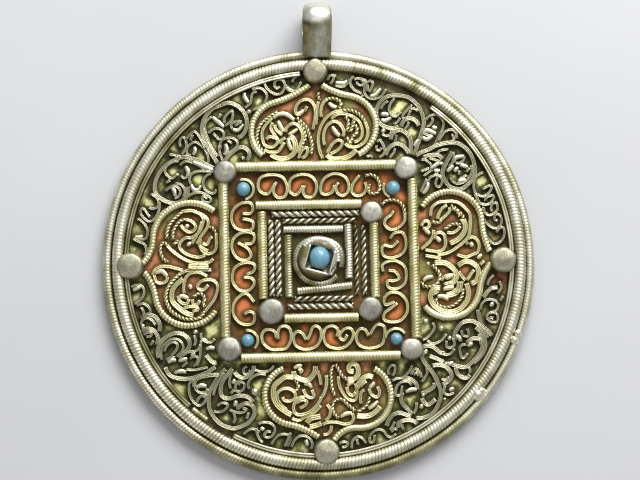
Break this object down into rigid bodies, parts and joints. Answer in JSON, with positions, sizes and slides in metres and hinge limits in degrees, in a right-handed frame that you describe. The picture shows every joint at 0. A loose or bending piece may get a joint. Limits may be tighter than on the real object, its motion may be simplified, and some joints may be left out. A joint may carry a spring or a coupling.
{
  "type": "berber pendant",
  "caption": "Round folk pendant of brass, copper and silver wirework with turquoise beads, domes, a filigree face and a wide fixed bail for a cord.",
  "frame": {"origin": "centre of the disc's back face", "axes": "+Z out of the decorated face, +Y towards the bail, +X to the right as seen from the front"},
  "size_m": [0.065, 0.0725, 0.0064],
  "materials": {
    "silver": "tarnished silver, rubbed bright on the high spots",
    "brass": "tarnished, rubbed bright on the high spots",
    "copper": "tarnished copper sheet and brass wire",
    "turquoise": "polished turquoise, dull with wear"
  },
  "bodies": {
    "root": {"back_plate": "brass", "square_sheet": "copper", "rim_outer_wire": "silver", "rim_inner_wire": "silver", "rim_strip": "silver", "bail": "silver", "rim_dome_top": "silver", "rim_dome_left": "silver", "rim_dome_right": "silver", "rim_dome_bottom": "silver", "outer_bar_top": "brass", "outer_bar_left": "brass", "outer_bar_right": "brass", "outer_bar_bottom": "brass", "outer_dome_tl": "silver", "outer_dome_tr": "silver", "outer_dome_bl": "silver", "outer_dome_br": "silver", "inner_bar_top": "brass", "inner_bar_left": "brass", "inner_bar_right": "brass", "inner_bar_bottom": "brass", "inner_dome_tr": "silver", "inner_dome_bl": "silver", "inner_dome_br": "silver", "ropes_pair_top": "silver", "ropes_pair_left": "silver", "ropes_pair_right": "silver", "ropes_pair_bottom": "silver", "silver_bar_top": "silver", "silver_bar_left": "silver", "silver_bar_right": "silver", "silver_bar_bottom": "silver", "bezel": "silver", "centre_stone": "turquoise", "bead_tl": "turquoise", "bead_tr": "turquoise", "bead_bl": "turquoise", "bead_br": "turquoise", "bead_wires": "brass", "hearts_row_top": "brass", "hearts_row_left": "brass", "hearts_row_right": "brass", "hearts_row_bottom": "brass", "lobe_wire_top": "brass", "lobe_wire_left": "brass", "lobe_wire_right": "brass", "lobe_wire_bottom": "brass", "brass_panel_top": "copper", "brass_panel_left": "copper", "brass_panel_right": "copper", "brass_panel_bottom": "copper", "silver_panel_tl": "silver", "silver_panel_tr": "silver", "silver_panel_bl": "silver", "silver_panel_br": "silver"}
  },
  "joints": []
}
